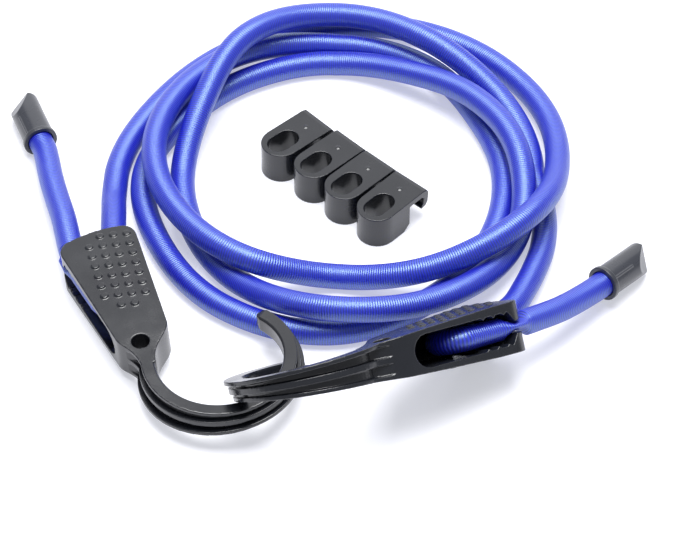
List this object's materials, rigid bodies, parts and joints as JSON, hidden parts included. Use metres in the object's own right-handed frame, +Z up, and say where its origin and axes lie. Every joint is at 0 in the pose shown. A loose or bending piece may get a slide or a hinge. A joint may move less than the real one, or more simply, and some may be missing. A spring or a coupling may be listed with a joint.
{
  "type": "bungee cord",
  "caption": "Coiled elastic cord in a blue braided sheath, with a wedge-jaw hook and an end cap at each end, the hooks linked, and loose cord clips standing inside the coil.",
  "frame": {"origin": "on the table, under the middle of the box round the hooks, caps and clips", "axes": "+X to the picture's right, +Y away from the camera, +Z up from the table"},
  "size_m": [0.2298, 0.2218, 0.0456],
  "materials": {
    "blue_braid": "tight braid, slight sheen",
    "rubber_core": "matte",
    "black_nylon": "moulded satin",
    "grey_nylon": "moulded satin"
  },
  "bodies": {
    "coil": {"coil_sheath": "blue_braid", "coil_rubber_core": "rubber_core", "left_lead_sheath": "blue_braid", "left_lead_rubber_core": "rubber_core", "right_lead_sheath": "blue_braid", "right_lead_rubber_core": "rubber_core"},
    "left_hook": {"left_hook": "black_nylon", "left_bight_sheath": "blue_braid", "left_bight_rubber_core": "rubber_core", "left_tail_sheath": "blue_braid", "left_tail_rubber_core": "rubber_core"},
    "right_hook": {"right_hook": "black_nylon", "right_bight_sheath": "blue_braid", "right_bight_rubber_core": "rubber_core", "right_tail_sheath": "blue_braid", "right_tail_rubber_core": "rubber_core"},
    "left_cap": {"left_end_cap": "grey_nylon"},
    "right_cap": {"right_end_cap": "grey_nylon"},
    "clip_1": {"cord_clip_1": "black_nylon"},
    "clip_2": {"cord_clip_2": "black_nylon"},
    "clip_3": {"cord_clip_3": "black_nylon"},
    "clip_4": {"cord_clip_4": "black_nylon"}
  },
  "joints": [
    {"name": "left_hook_pull", "type": "slide", "parent": "coil", "child": "left_hook", "axis": [0.3745, -0.927, 0.0209], "range_m": [0, 0.025], "stiffness_N_per_m": 1500, "deforming": ["left_lead_sheath", "left_lead_rubber_core"]},
    {"name": "right_hook_swing", "type": "hinge", "parent": "coil", "child": "right_hook", "pos_m": [0.06075, -0.03485, 0.01395], "axis": [0, 0, 1], "range_deg": [-7, 0], "stiffness_Nm_per_rad": 0.5, "deforming": ["right_lead_sheath", "right_lead_rubber_core"]},
    {"name": "left_tail_swing", "type": "hinge", "parent": "left_hook", "child": "left_cap", "pos_m": [-0.08832, 0.00658, 0.00922], "axis": [0, 0, 1], "range_deg": [-12, 12], "stiffness_Nm_per_rad": 0.05, "deforming": ["left_tail_sheath", "left_tail_rubber_core"]},
    {"name": "right_tail_swing", "type": "hinge", "parent": "right_hook", "child": "right_cap", "pos_m": [0.06948, -0.03588, 0.01738], "axis": [0, 0, 1], "range_deg": [-12, 12], "stiffness_Nm_per_rad": 0.05, "deforming": ["right_tail_sheath", "right_tail_rubber_core"]},
    {"name": "clip_1_lift", "type": "slide", "parent": "coil", "child": "clip_1", "axis": [0, 0, 1], "range_m": [0, 0.06]},
    {"name": "clip_2_lift", "type": "slide", "parent": "coil", "child": "clip_2", "axis": [0, 0, 1], "range_m": [0, 0.06]},
    {"name": "clip_3_lift", "type": "slide", "parent": "coil", "child": "clip_3", "axis": [0, 0, 1], "range_m": [0, 0.06]},
    {"name": "clip_4_lift", "type": "slide", "parent": "coil", "child": "clip_4", "axis": [0, 0, 1], "range_m": [0, 0.06]}
  ]
}
